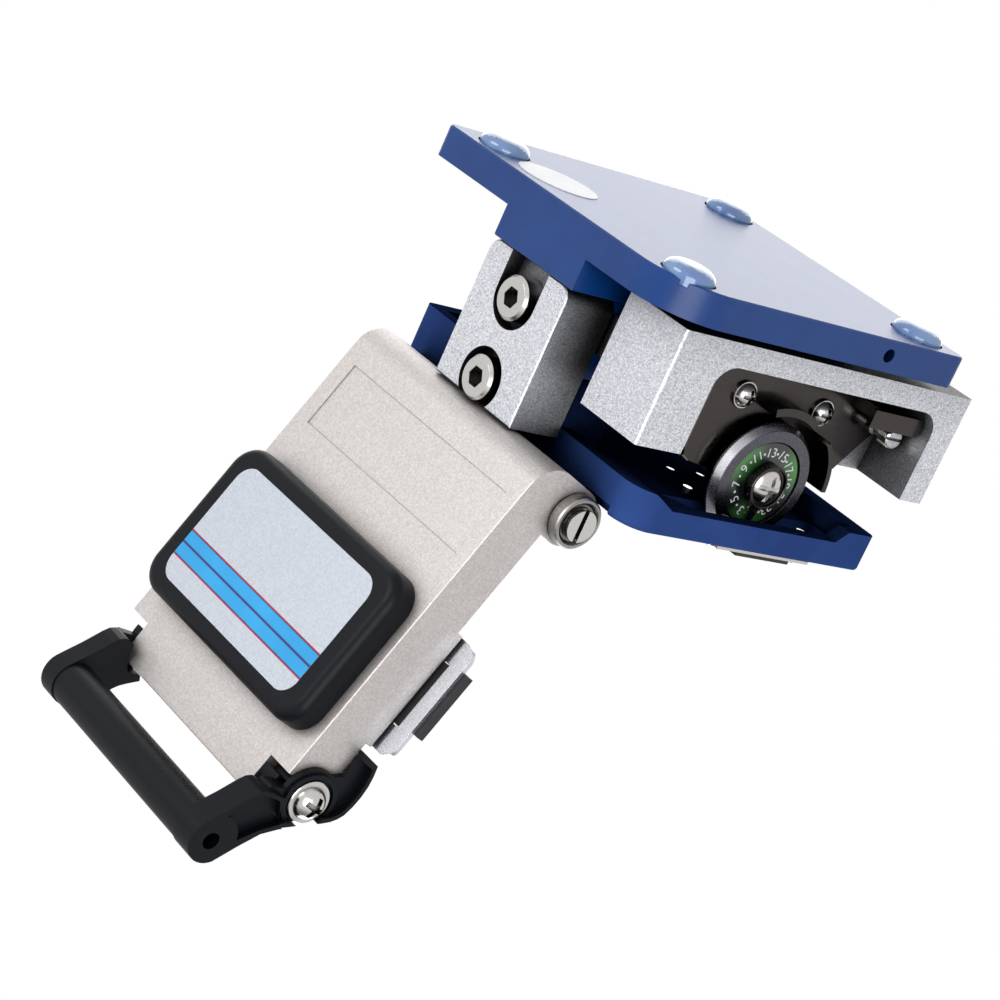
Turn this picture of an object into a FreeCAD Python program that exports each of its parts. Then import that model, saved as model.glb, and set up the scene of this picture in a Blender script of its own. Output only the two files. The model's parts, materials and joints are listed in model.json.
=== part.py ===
"""Bench-top fibre cleaver: a base on four rubber feet, a platform above it carried by a rear block, a blade
carriage that slides front to back between them, and a hinged clamping lever with a folding handle.

Millimetres, +Z up, +X towards the blade side, +Y towards the hinge. The parts are laid out about the middle
of the base plate with the plate's underside at z = 0, the lever modelled shut and then swung open, and at
the end the whole object is moved so that its origin is under the middle of its bounding box, at the feet.
"""
import FreeCAD, Part
import math
import os

Vector = FreeCAD.Vector

# ---- driving dimensions ------------------------------------------------------------------------------------
BASE_X = 32.5            # half width of the base plate
BASE_Y = 32.5            # half depth of the base plate
BASE_T = 5.4             # plate thickness
BASE_CORNER = 11.0       # radius of the rear right corner
RIB_X = 10.9             # half width of the raised rib
RIB_TOP = 10.7
UPRIGHT_X = (-10.0, 9.2) # sides of the upright that carries the block
UPRIGHT_Y = (8.0, 21.5)
UPRIGHT_TOP = 24.5
GUIDE_WALL_X = 2.0
FOOT_X, FOOT_Y = 25.2, 26.3
FOOT_R = 4.3
FOOT_DROP = 2.0          # how far the feet reach below the plate
FOOT_POCKET = 1.0

BLOCK_X = (-11.7, 9.8)
BLOCK_Y = 31.7           # rear face of the block
BLOCK_TOP = 34.8
BLOCK_SCREW_X = -1.1
BLOCK_SCREW_Z = (17.3, 31.2)
BLOCK_SINK_R = 5.1       # counterbores of the two cap screws
BLOCK_SINK = 3.1

TOP_X = (-32.5, 32.2)    # platform outline
TOP_Y = (-32.5, 21.5)
TOP_Z = 39.5             # platform upper face
TOP_PLATE = 3.0          # thickness over the cavity
SKIRT_Z = 33.0           # lower edge of the platform's skirt
LEFT_SKIRT_Z = 30.2      # the same, left of the upright
SKIRT_T = 2.8
FRONT_WALL = 3.4
SIDE_CUT_Z = 35.1        # lower edge of the right skirt between its two slopes

HINGE_Y, HINGE_Z = 24.7, 42.4
OPEN_DEG = 111.5         # how far the lever stands open
PIN_R = 2.0
RUNNING = 0.05           # radial clearance of a running fit
EAR_R = 3.6

RAIL_X = (9.2, 13.0)
RAIL_Z = (13.0, 20.0)
RAIL_Y = (-30.5, 21.0)
SLIDER_X = (16.8, 31.6)
SLIDER_Y = (-39.6, 26.9)
SLIDER_Z = (6.6, 25.9)
WEB_X = 20.5             # inner wall of the slider, behind its window
WINDOW_Y = (-34.2, 17.1)
WINDOW_Z = 10.5
CARRIAGE_Y = (-16.0, 4.0)
SLIDE_TRAVEL = (-8.0, 10.0)  # how far the slider runs each way from rest

WHEEL_Y, WHEEL_Z = -10.1, 30.3
WHEEL_R = 10.3
WHEEL_X = (22.4, 24.9)
BRACKET_X = (WEB_X, WEB_X + 1.0)  # plate that carries the wheel
ADJUSTER = (-31.4, 17.4)  # (y, z) of the adjusting screw
FIBRE_Z = WHEEL_Z + WHEEL_R + 0.05
PAD_Y = (-16.4, -4.2)    # rubber clamp pads, front to back
RIGHT_PAD_X = (26.1, 31.7)
LEFT_PAD_X = (16.4, 20.8)
GUIDE_X = (-30.0, 12.0)  # V-grooved plate that leads the fibre in
MAGNET = (-20.0, -26.0)  # (x, y) of the two magnets
CORNER_SCREW = (25.4, 14.2)
EARS_X = ((-16.0, -8.0), (0.0, 8.0))  # hinge ears on the platform

LEVER_X = (-28.4, 23.4)
LEVER_U = (-5.0, 64.2)   # along the lever, measured forwards from the hinge axis
LEVER_V = (2.6, 11.4)    # up from the hinge axis with the lever shut
WALL = 2.5
SHELL = 2.8
CARRIER_U = (24.8, 47.0)
CARRIER_X = 12.0
PLATE_V = (-0.3, 0.6)    # steel plate of the upper clamp
FLOAT = 0.6              # how far the upper clamp can lift towards the lever
ANVIL_X_SLOT = (22.5, 24.5)
PAD_X = (-28.0, 21.5)    # plastic pad that carries the label
PAD_U = (23.2, 52.4)
PAD_V = (LEVER_V[1], LEVER_V[1] + 5.0)
LABEL_X = (-24.0, 17.2)
LABEL_U = (26.3, 49.2)
LABEL_SINK = 0.35
PIVOT_U, PIVOT_V = 59.25, 5.5
PIVOT = (PIVOT_U, PIVOT_V)
BAR_U, BAR_V = 71.95, 17.85
BAR_R = 3.75
EYE_R = 3.95             # ends of the handle's arms
ARM_X = (21.4, 26.3)     # right arm
FLANGE_X = (23.6, 24.6)  # its thin flange beside the lever
TAIL_RIM_X = 26.0
LEFT_ARM_X = (-24.3, -20.5)
STUB_X = (-25.2, -23.5)  # left flange, inside the lever's notch
NOTCH_U = 57.4
RIGHT_NOTCH_X = 17.9
LEFT_NOTCH_X = -23.3
LUG_R = 3.8              # turned part of the handle inside the right notch
LEFT_BOSS_R = 3.6
HUMP_R = 5.75            # handle's filling of the notches, seen from above
WASHER_T = 0.5
UNDERSIDE = [  # lower edge of an arm, from the bar back past the pivot
    (70.7, 12.8), (67.1, 10.6), (65.0, 8.2), (62.9, 4.9), (60.9, 1.6), (59.9, 0.2), (58.9, -0.7), (57.8, -1.3),
    (56.0, -1.6), (54.0, -1.65), (52.0, -1.4), (50.2, -0.85), (48.5, -0.1),
]
UPPER_EDGE = [(68.2, 20.2), (66.1, 18.9), (63.9, 17.7), (62.6, 17.0), (61.6, 16.3), (61.0, 15.3)]

parts = {}


# ---- shape helpers -----------------------------------------------------------------------------------------
def box(x, y, z):
    """A block from three (low, high) pairs."""
    corner = Vector(x[0], y[0], z[0])
    return Part.makeBox(x[1] - x[0], y[1] - y[0], z[1] - z[0], corner)


def cyl(axis, centre, radius, span):
    """A cylinder along X, Y or Z; centre holds the two other coordinates in order."""
    length = span[1] - span[0]
    if axis == "x":
        return Part.makeCylinder(radius, length, Vector(span[0], *centre), Vector(1, 0, 0))
    if axis == "y":
        return Part.makeCylinder(radius, length, Vector(centre[0], span[0], centre[1]), Vector(0, 1, 0))
    return Part.makeCylinder(radius, length, Vector(*centre, span[0]), Vector(0, 0, 1))


def face_from(points):
    return Part.Face(Part.makePolygon(points + [points[0]]))


def prism_x(outline, x):
    """Extrudes a (y, z) outline along X."""
    face = face_from([Vector(x[0], y, z) for y, z in outline])
    return face.extrude(Vector(x[1] - x[0], 0, 0))


def prism_z(outline, z):
    """Extrudes an (x, y) outline along Z."""
    face = face_from([Vector(px, py, z[0]) for px, py in outline])
    return face.extrude(Vector(0, 0, z[1] - z[0]))


def fuse(first, *others):
    return first.multiFuse(list(others)).removeSplitter()


def cut(body, *tools):
    return body.cut(Part.makeCompound(list(tools))) if len(tools) > 1 else body.cut(tools[0])


def edges_where(body, test):
    """Edges whose middle point passes the test."""
    chosen = []
    for edge in body.Edges:
        middle = edge.valueAt((edge.FirstParameter + edge.LastParameter) / 2)
        if test(middle, edge):
            chosen.append(edge)
    return chosen


def upright(edge):
    """True for a straight edge along Z."""
    ends = [v.Point for v in edge.Vertexes]
    return len(ends) == 2 and abs(ends[0].x - ends[1].x) + abs(ends[0].y - ends[1].y) < 1e-6


def slot_z(x, y, z, radius):
    """A vertical obround, its long way along X."""
    middle = box((x[0] + radius, x[1] - radius), y, z)
    centre_y = (y[0] + y[1]) / 2
    ends = [cyl("z", (end, centre_y), radius, z) for end in (x[0] + radius, x[1] - radius)]
    return fuse(middle, *ends)


def turned(profile, centre, axis):
    """Revolves an (r, h) profile about an axis through centre; h runs along the axis."""
    face = face_from([Vector(r, 0, h) for r, h in profile])
    body = face.revolve(Vector(0, 0, 0), Vector(0, 0, 1), 360)
    return aim(body, centre, axis)


def aim(body, place, direction):
    """Moves a shape built along +Z so that it points along direction, with its foot at place."""
    turn = FreeCAD.Rotation(Vector(0, 0, 1), Vector(*direction))
    moved = body.copy()
    moved.Placement = FreeCAD.Placement(Vector(*place), turn)
    return moved


# ---- fasteners, all built along +Z with the underside of the head at z = 0 ---------------------------------
def socket_screw(shank_r, length, head_r, head_h, key=None):
    """Cap screw with a hexagon socket."""
    key = key or shank_r * 1.05
    rim = 0.12 * head_h
    head = Part.makeCylinder(head_r, head_h - rim)
    crown = Part.makeCone(head_r, head_r - rim, rim, Vector(0, 0, head_h - rim))
    shank = Part.makeCylinder(shank_r, length, Vector(0, 0, -length))
    corners = [
        Vector(key * math.cos(math.radians(60 * k)), key * math.sin(math.radians(60 * k)), head_h * 0.4)
        for k in range(6)
    ]
    socket = face_from(corners).extrude(Vector(0, 0, head_h))
    return fuse(head, crown, shank).cut(socket)


def pan_screw(shank_r, length, head_r, head_h, reach=0.62, width=0.16):
    """Domed screw with a cross recess; reach and width are those of its arms, in head radii."""
    sphere_r = (head_r ** 2 + head_h ** 2) / (2 * head_h)
    ball = Part.makeSphere(sphere_r, Vector(0, 0, head_h - sphere_r))
    head = ball.common(Part.makeCylinder(head_r, head_h))
    shank = Part.makeCylinder(shank_r, length, Vector(0, 0, -length))
    half, floor = head_r * width, head_h * 0.4
    slots = [box((-reach * head_r, reach * head_r), (-half, half), (floor, head_h + 1))]
    slots.append(box((-half, half), (-reach * head_r, reach * head_r), (floor, head_h + 1)))
    pit = Part.makeCone(half * 1.1, half * 1.9, head_h - floor + 0.5, Vector(0, 0, floor))
    return cut(fuse(head, shank), *slots, pit)


def washer(inner, outer, thickness):
    return Part.makeCylinder(outer, thickness).cut(Part.makeCylinder(inner, thickness))


# ---- lever coordinates: u forwards from the hinge, v up, with the lever shut -------------------------------
def lever_box(x, u, v):
    return box(x, (HINGE_Y - u[1], HINGE_Y - u[0]), (HINGE_Z + v[0], HINGE_Z + v[1]))


def lever_point(u, v):
    return (HINGE_Y - u, HINGE_Z + v)


def lever_prism(outline, x):
    return prism_x([lever_point(u, v) for u, v in outline], x)


def arc_points(centre, radius, start, stop, steps=12):
    """Points of an arc in (u, v), angles in degrees from +u towards +v."""
    angles = [math.radians(start + (stop - start) * k / steps) for k in range(steps + 1)]
    return [(centre[0] + radius * math.cos(a), centre[1] + radius * math.sin(a)) for a in angles]


def swing_open(body):
    """Turns a lever part from shut to its open rest position."""
    moved = body.copy()
    moved.rotate(Vector(0, HINGE_Y, HINGE_Z), Vector(1, 0, 0), -OPEN_DEG)
    return moved


# ---- base --------------------------------------------------------------------------------------------------
def base_outline(z):
    """Base plate outline: square but for the large rear right corner."""
    c = BASE_CORNER
    low, high = Vector(-BASE_X, -BASE_Y, z), Vector(BASE_X, BASE_Y, z)
    right_end = Vector(high.x, high.y - c, z)
    back_end = Vector(high.x - c, high.y, z)
    middle = Vector(high.x - c * (1 - math.sqrt(0.5)), high.y - c * (1 - math.sqrt(0.5)), z)
    corners = [Vector(low.x, high.y, z), low, Vector(high.x, low.y, z)]
    lines = [
        Part.makeLine(back_end, corners[0]),
        Part.makeLine(corners[0], corners[1]),
        Part.makeLine(corners[1], corners[2]),
        Part.makeLine(corners[2], right_end),
    ]
    return Part.Face(Part.Wire([Part.Arc(right_end, middle, back_end).toShape()] + lines))


def foot_places():
    return [(sx * FOOT_X + 0.8, sy * FOOT_Y - 0.2) for sx in (-1, 1) for sy in (-1, 1)]


def make_base():
    plate = base_outline(0).extrude(Vector(0, 0, BASE_T))
    small = edges_where(plate, lambda m, e: upright(e) and (m.x < 0 or m.y < 0))
    plate = plate.makeFillet(1.5, small)
    rims = edges_where(plate, lambda m, e: not upright(e) and m.z < 0.01)
    plate = plate.makeChamfer(0.25, rims)
    rib = box((-RIB_X, RIB_X), (-BASE_Y, BASE_Y), (BASE_T - 0.5, RIB_TOP))
    rib = rib.makeFillet(0.3, edges_where(rib, lambda m, e: m.z > RIB_TOP - 0.01))
    post = box(UPRIGHT_X, UPRIGHT_Y, (RIB_TOP - 0.5, UPRIGHT_TOP))
    wall = box((GUIDE_WALL_X, UPRIGHT_X[1]), (RAIL_Y[0] - 0.5, UPRIGHT_Y[0]), (RIB_TOP - 0.5, UPRIGHT_TOP))
    body = fuse(plate, rib, post, wall)
    pockets = [cyl("z", place, FOOT_R + 0.3, (-1, FOOT_POCKET)) for place in foot_places()]
    side_hole = cyl("x", (-15.2, 2.65), 1.15, (BASE_X - 7, BASE_X + 1))
    screw_hole = cyl("y", (BLOCK_SCREW_X, BLOCK_SCREW_Z[0]), 2.05, (UPRIGHT_Y[1] - 9, UPRIGHT_Y[1] + 1))
    rail_holes = [cyl("x", place, 0.85, (GUIDE_WALL_X + 1.5, RAIL_X[0] + 1)) for place in rail_screw_places()]
    return cut(body, side_hole, screw_hole, *pockets, *rail_holes)


def make_feet():
    profile = [(0, FOOT_POCKET), (FOOT_R, FOOT_POCKET), (FOOT_R, -0.3)]
    rise = FOOT_DROP - 0.3
    for k in range(1, 9):
        angle = math.radians(90 * k / 8)
        profile.append((1.6 + (FOOT_R - 1.6) * math.cos(angle), -0.3 - rise * math.sin(angle)))
    profile.append((0, -FOOT_DROP))
    return [turned(profile, (*place, 0), (0, 0, 1)) for place in foot_places()]


def make_rear_block():
    block = box(BLOCK_X, (UPRIGHT_Y[1], BLOCK_Y), (RIB_TOP + 0.15, BLOCK_TOP))
    middle_y = (UPRIGHT_Y[1] + BLOCK_Y) / 2
    low_corners = edges_where(block, lambda m, e: m.z < RIB_TOP + 0.2 and abs(m.y - middle_y) < 0.01)
    block = block.makeFillet(2.4, low_corners)
    block = block.makeChamfer(0.25, edges_where(block, lambda m, e: m.y > BLOCK_Y - 0.01))
    low, high = BLOCK_SCREW_Z
    sink = (BLOCK_Y - BLOCK_SINK, BLOCK_Y + 1)
    tools = [cyl("y", (BLOCK_SCREW_X, z), BLOCK_SINK_R, sink) for z in (low, high)]
    tools.append(box((BLOCK_SCREW_X - BLOCK_SINK_R, BLOCK_SCREW_X + BLOCK_SINK_R), sink, (RIB_TOP - 1, low)))
    tools += [cyl("y", (BLOCK_SCREW_X, z), 2.15, (UPRIGHT_Y[1] - 1, BLOCK_Y)) for z in (low, high)]
    return cut(block, *tools)


# ---- slide: rail on the base, carriage under the slider ----------------------------------------------------
def rail_screw_places():
    return [(y, sum(RAIL_Z) / 2) for y in (-27.0, -12.0, 3.0, 17.0)]


def make_rail():
    rail = box(RAIL_X, RAIL_Y, RAIL_Z)
    middle_x = sum(RAIL_X) / 2 + 0.4
    grooves = [
        prism_x_along_y([(middle_x - 0.9, z), (middle_x + 0.9, z), (middle_x, z + dz)], RAIL_Y)
        for z, dz in ((RAIL_Z[0], 0.9), (RAIL_Z[1], -0.9))
    ]
    sinks = [cyl("x", place, 1.7, (RAIL_X[1] - 1.7, RAIL_X[1] + 1)) for place in rail_screw_places()]
    holes = [cyl("x", place, 0.9, (RAIL_X[0] - 1, RAIL_X[1])) for place in rail_screw_places()]
    pins = [cyl("x", place, 0.6, (RAIL_X[1] - 2, RAIL_X[1] + 1)) for place in stop_pin_places()]
    return cut(rail, *grooves, *sinks, *holes, *pins)


def prism_x_along_y(outline, y):
    """Extrudes an (x, z) outline along Y."""
    face = face_from([Vector(px, y[0], pz) for px, pz in outline])
    return face.extrude(Vector(0, y[1] - y[0], 0))


def stop_pin_places():
    middle = sum(RAIL_Z) / 2
    return [(CARRIAGE_Y[0] + SLIDE_TRAVEL[0] - 0.8, middle), (CARRIAGE_Y[1] + SLIDE_TRAVEL[1] + 0.8, middle)]


def make_carriage():
    gap = 0.15
    top, low = RAIL_Z[1] + gap, RAIL_Z[0] - gap
    block = box((RAIL_X[0] + 0.9, SLIDER_X[0]), CARRIAGE_Y, (low - 1.7, top + 1.7))
    channel = box((RAIL_X[0], RAIL_X[1] + gap), CARRIAGE_Y, (low, top))
    holes = [cyl("x", place, 0.85, (RAIL_X[1] + 1, SLIDER_X[0] + 1)) for place in carriage_screw_places()]
    return cut(block, channel, *holes)


def carriage_screw_places():
    return [(y, z) for y in (-13.0, 1.0) for z in (13.5, 19.5)]


def make_slider():
    body = box(SLIDER_X, SLIDER_Y, SLIDER_Z)
    pocket = box((WEB_X, SLIDER_X[1] + 1), WINDOW_Y, (WINDOW_Z, SLIDER_Z[1] + 5))
    lower = edges_where(pocket, lambda m, e: m.z < WINDOW_Z + 0.01 and abs(m.y - sum(WINDOW_Y) / 2) > 20)
    pocket = pocket.makeFillet(4.0, lower)
    body = body.cut(pocket)
    outer = edges_where(
        body,
        lambda m, e: upright(e) and (m.y > SLIDER_Y[1] - 0.01 or m.y < SLIDER_Y[0] + 0.01),
    )
    body = body.makeChamfer(0.3, outer)
    sinks = [cyl("x", place, 1.8, (WEB_X - 1.6, WEB_X + 1)) for place in carriage_screw_places()]
    holes = [cyl("x", place, 0.9, (SLIDER_X[0] - 1, WEB_X + 1)) for place in carriage_screw_places()]
    threads = [cyl("x", place, 1.05, (WEB_X - 2.6, WEB_X + 1)) for place in bracket_screw_places()]
    return cut(body, *sinks, *holes, *threads)


# ---- blade bracket, wheel and dial -------------------------------------------------------------------------


def bracket_screw_places():
    return [(-0.6, 17.3), (-18.9, 17.4)]


def guard_sector(inner, outer, x, start, stop):
    """Part of a ring round the wheel's axis, between two (y, z) directions from it."""
    centre = (WHEEL_Y, WHEEL_Z)
    ring = cyl("x", centre, outer, x).cut(cyl("x", centre, inner, (x[0] - 1, x[1] + 1)))
    corners = [(WHEEL_Y + 2 * y, WHEEL_Z + 2 * z) for y, z in (start, stop)]
    return ring.common(prism_x([centre] + corners, x))


def make_bracket():
    outline = [
        (6.6, 15.6), (5.4, 12.8), (2.6, 11.6), (-24.0, 11.6), (-33.4, 12.6), (-33.4, 18.4), (-32.3, 19.6),
        (-27.8, 26.5), (-22.6, 30.0), (-4.0, 31.5), (4.4, 30.2), (6.0, 29.4), (6.6, 28.0),
    ]
    plate = prism_x(outline, BRACKET_X)
    rim = edges_where(plate, lambda m, e: m.x > BRACKET_X[1] - 0.01)
    plate = plate.makeChamfer(0.2, rim)
    wall = BRACKET_X[1] - 0.1
    arc_tab = guard_sector(12.0, 13.4, (wall, 24.8), (4.4, -12.8), (-6.3, -12.1))
    wheel_guard = guard_sector(12.6, 13.5, (wall, 25.8), (-9.3, -9.2), (-13.2, -1.0))
    ring = guard_sector(8.1, 8.9, (wall, BRACKET_X[1] + 0.5), (13.0, -15.0), (14.0, 12.0))
    body = fuse(plate, arc_tab, wheel_guard, ring)
    holes = [cyl("x", place, 1.25, (WEB_X - 1, WEB_X + 3)) for place in bracket_screw_places()]
    axle = cyl("x", (WHEEL_Y, WHEEL_Z), 1.4, (WEB_X - 1, WEB_X + 3))
    adjuster = cyl("x", ADJUSTER, 1.0, (WEB_X - 1, WEB_X + 3))
    sunk = [cyl("x", place, 2.35, (BRACKET_X[1] + 0.01, BRACKET_X[1] + 4)) for place in bracket_screw_places()]
    return cut(body, axle, adjuster, *holes, *sunk)


def make_adjuster_block():
    """Flat stop tab on its foot, in front of the wheel."""
    tab = box((28.8, 29.8), (-33.3, -21.6), (12.5, 15.6))
    tab = tab.makeFillet(0.7, edges_where(tab, lambda m, e: m.y < -33.2 and abs(m.x - 29.3) < 0.01))
    foot = box((BRACKET_X[1], 29.0), (-30.0, -25.0), (12.9, 15.0))
    return fuse(tab, foot)


def make_adjuster_screw():
    stem = cyl("x", ADJUSTER, 1.0, (BRACKET_X[0] + 0.1, 25.0))
    collar = cyl("x", ADJUSTER, 1.35, (BRACKET_X[1], 22.6))
    knob = cyl("x", ADJUSTER, 1.8, (25.0, 27.4))
    knob = knob.makeChamfer(0.25, edges_where(knob, lambda m, e: m.x > 27.3 and len(e.Vertexes) == 1))
    y, z = ADJUSTER
    slot = box((26.8, 28.0), (y - 2.5, y + 2.5), (z - 0.25, z + 0.25))
    return fuse(stem, collar, knob).cut(slot)


def make_wheel():
    x0, x1 = WHEEL_X
    width = x1 - x0
    bore = 1.5 + RUNNING
    profile = [
        (bore, 0), (9.0, 0), (WHEEL_R, 0.9), (WHEEL_R, 1.3), (9.4, width), (7.5, width),
        (7.3, width - 0.8), (bore, width - 0.8),
    ]
    return turned(profile, (x0, WHEEL_Y, WHEEL_Z), (1, 0, 0))


def make_dial():
    disc = cyl("x", (WHEEL_Y, WHEEL_Z), 7.2, (WHEEL_X[1] - 0.8, WHEEL_X[1] - 0.3))
    return disc.cut(cyl("x", (WHEEL_Y, WHEEL_Z), 1.5 + RUNNING, (WHEEL_X[0], WHEEL_X[1])))


def make_axle():
    shaft = cyl("x", (WHEEL_Y, WHEEL_Z), 1.5, (BRACKET_X[1], WHEEL_X[1] + 0.1))
    foot = cyl("x", (WHEEL_Y, WHEEL_Z), 1.35, (BRACKET_X[0] + 0.1, BRACKET_X[1]))
    shoulder = cyl("x", (WHEEL_Y, WHEEL_Z), 2.6, (BRACKET_X[1], WHEEL_X[0] - 0.15))
    tip = cyl("x", (WHEEL_Y, WHEEL_Z), 1.0, (WHEEL_X[1] + 0.1, WHEEL_X[1] + 1.2))
    return fuse(shaft, foot, shoulder, tip)


def make_hub():
    start = WHEEL_X[1] - 0.15
    body = turned(
        [(1.1, 0.25), (3.8, 0.25), (3.8, 1.7), (3.7, 1.8), (3.5, 1.8), (3.4, 1.7), (3.4, 1.4), (1.1, 1.4)],
        (start, WHEEL_Y, WHEEL_Z), (1, 0, 0),
    )
    return body


def make_hub_screw():
    screw = pan_screw(1.0, 0.9, 2.95, 1.0, 0.96, 0.14)
    return aim(screw, (WHEEL_X[1] + 1.25, WHEEL_Y, WHEEL_Z), (1, 0, 0)).cut(
        cyl("x", (WHEEL_Y, WHEEL_Z), 1.05, (WHEEL_X[0], WHEEL_X[1] + 1.2))
    )


def make_pointer():
    x = (WHEEL_X[1] + 0.1, WHEEL_X[1] + 0.5)
    outline = [
        (WHEEL_Y - 1.3, WHEEL_Z + 3.0), (WHEEL_Y + 1.3, WHEEL_Z + 3.0),
        (WHEEL_Y + 0.7, WHEEL_Z + 6.4), (WHEEL_Y, WHEEL_Z + 7.6), (WHEEL_Y - 0.7, WHEEL_Z + 6.4),
    ]
    return prism_x(outline, x).cut(cyl("x", (WHEEL_Y, WHEEL_Z), 3.85, (x[0] - 1, x[1] + 1)))


# ---- platform ----------------------------------------------------------------------------------------------


def pad_screw_places(x):
    middle = sum(x) / 2
    return [(middle, PAD_Y[0] - 2.4), (middle, PAD_Y[1] + 3.0)]


def guide_screw_places():
    return [(-26.0, -13.8), (-26.0, -6.8), (8.0, -13.8), (8.0, -6.8)]


def make_platform():
    skirt_x = (TOP_X[0] + SKIRT_T, TOP_X[1] - SKIRT_T)
    skirt_y = (TOP_Y[0] + FRONT_WALL, TOP_Y[1] - SKIRT_T)
    block = box(TOP_X, TOP_Y, (LEFT_SKIRT_Z, TOP_Z))
    block = block.makeFillet(5.5, edges_where(block, lambda m, e: upright(e) and m.x > 0 and m.y > 0))
    sharp = edges_where(block, lambda m, e: upright(e) and (m.x < 0 or m.y < 0) and m.x * m.x > 900)
    block = block.makeFillet(1.5, sharp)
    below = (LEFT_SKIRT_Z - 1, SKIRT_Z)
    block = cut(
        block,
        box((TOP_X[0] - 1, TOP_X[1] + 1), (TOP_Y[0] - 1, 0.0), below),
        box((UPRIGHT_X[0] - 0.3, TOP_X[1] + 1), (-1.0, TOP_Y[1] + 1), below),
    )
    top_rim = edges_where(block, lambda m, e: not upright(e) and m.z > TOP_Z - 0.01)
    block = block.makeFillet(0.7, top_rim)
    cavity = prism_z(
        [
            (skirt_x[0], skirt_y[0]), (skirt_x[1], skirt_y[0]), (skirt_x[1], 6.0),
            (18.5, skirt_y[1]), (skirt_x[0], skirt_y[1]),
        ],
        (LEFT_SKIRT_Z - 1, TOP_Z - TOP_PLATE),
    )
    rise = SIDE_CUT_Z - SKIRT_Z
    side = prism_x(
        [(-26.0, SKIRT_Z - 1), (-26.0, SKIRT_Z), (-26.0 + rise, SIDE_CUT_Z), (18.0 - 2 * rise, SIDE_CUT_Z),
         (18.0, SKIRT_Z), (18.0, SKIRT_Z - 1)],
        (skirt_x[1] - 12, TOP_X[1] + 1),
    )
    body = block.cut(cavity).cut(side)
    lug = box(UPRIGHT_X, (12.0, TOP_Y[1]), (UPRIGHT_TOP + 0.3, SKIRT_Z + 4))
    ears = []
    web = [(15.5, TOP_Z - 0.5), (TOP_Y[1] - 0.2, 37.0), (24.4, 38.9), (HINGE_Y, HINGE_Z), (22.2, 45.0)]
    for x in EARS_X:
        ears += [cyl("x", (HINGE_Y, HINGE_Z), EAR_R, x), prism_x(web, x)]
    body = fuse(body, lug, *ears)
    tools = [cyl("x", (HINGE_Y, HINGE_Z), PIN_R + 0.02, (-30, 30))]
    for x in ((LEVER_X[0] - 1.6, LEVER_X[0] + WALL + 0.5), (LEVER_X[1] - WALL - 0.5, LEVER_X[1] + 3.6)):
        tools.append(cyl("x", (HINGE_Y, HINGE_Z), 5.5, x))
    slot_end = WHEEL_R + 0.3
    slot_y = (WHEEL_Y + SLIDE_TRAVEL[0] - slot_end, WHEEL_Y + SLIDE_TRAVEL[1] + slot_end)
    tools.append(box((WHEEL_X[0] - 0.9, WHEEL_X[1] + 0.8), slot_y, (SKIRT_Z - 1, TOP_Z + 1)))
    tools.append(cyl("y", (BLOCK_SCREW_X, BLOCK_SCREW_Z[1]), 2.05, (TOP_Y[1] - 9, TOP_Y[1] + 1)))
    for x in (LEFT_PAD_X, RIGHT_PAD_X):
        tools += [cyl("z", place, 0.85, (SKIRT_Z, TOP_Z + 1)) for place in pad_screw_places(x)]
    tools += [cyl("z", place, 0.85, (SKIRT_Z, TOP_Z + 1)) for place in guide_screw_places()]
    tools.append(cyl("z", MAGNET, 3.05, (TOP_Z - 2.0, TOP_Z + 1)))
    tools.append(slot_z((23.6, 29.2), (12.6, 15.8), (SKIRT_Z - 1, SIDE_CUT_Z + 1.2), 1.6))
    tools.append(cyl("z", CORNER_SCREW, 0.85, (SKIRT_Z, TOP_Z - 1)))
    return cut(body, *tools)


def make_pad_strips():
    """Steel strips that carry the lower rubber pads."""
    strips = []
    for x in (LEFT_PAD_X, RIGHT_PAD_X):
        strip = box(x, (PAD_Y[0] - 4.2, PAD_Y[1] + 4.8), (TOP_Z, TOP_Z + 0.5))
        holes = [cyl("z", place, 0.9, (TOP_Z - 1, TOP_Z + 2)) for place in pad_screw_places(x)]
        strips.append(cut(strip, *holes))
    return strips


def make_lower_pads():
    return [box((x[0] + 0.2, x[1] - 0.2), PAD_Y, (TOP_Z + 0.5, FIBRE_Z)) for x in (LEFT_PAD_X, RIGHT_PAD_X)]


def make_pad_screws():
    screw = pan_screw(0.8, 4.6, 1.7, 1.1)
    places = pad_screw_places(LEFT_PAD_X) + pad_screw_places(RIGHT_PAD_X)
    return [aim(screw, (*place, TOP_Z + 0.5), (0, 0, 1)) for place in places]


def make_fibre_guide():
    plate = box(GUIDE_X, (-16.2, -4.4), (TOP_Z, TOP_Z + 2.2))
    long_edges = edges_where(plate, lambda m, e: m.z > TOP_Z + 2.1 and abs(m.y + 10.3) > 5)
    plate = plate.makeChamfer(0.5, long_edges)
    groove_y = (PAD_Y[0] + PAD_Y[1]) / 2
    floor = FIBRE_Z - 0.1
    groove = prism_x([(groove_y - 1.2, TOP_Z + 3), (groove_y, floor), (groove_y + 1.2, TOP_Z + 3)], GUIDE_X)
    sinks = [cyl("z", place, 1.9, (TOP_Z + 1.1, TOP_Z + 3)) for place in guide_screw_places()]
    holes = [cyl("z", place, 0.9, (TOP_Z - 1, TOP_Z + 3)) for place in guide_screw_places()]
    return cut(plate, groove, *sinks, *holes)


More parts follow.
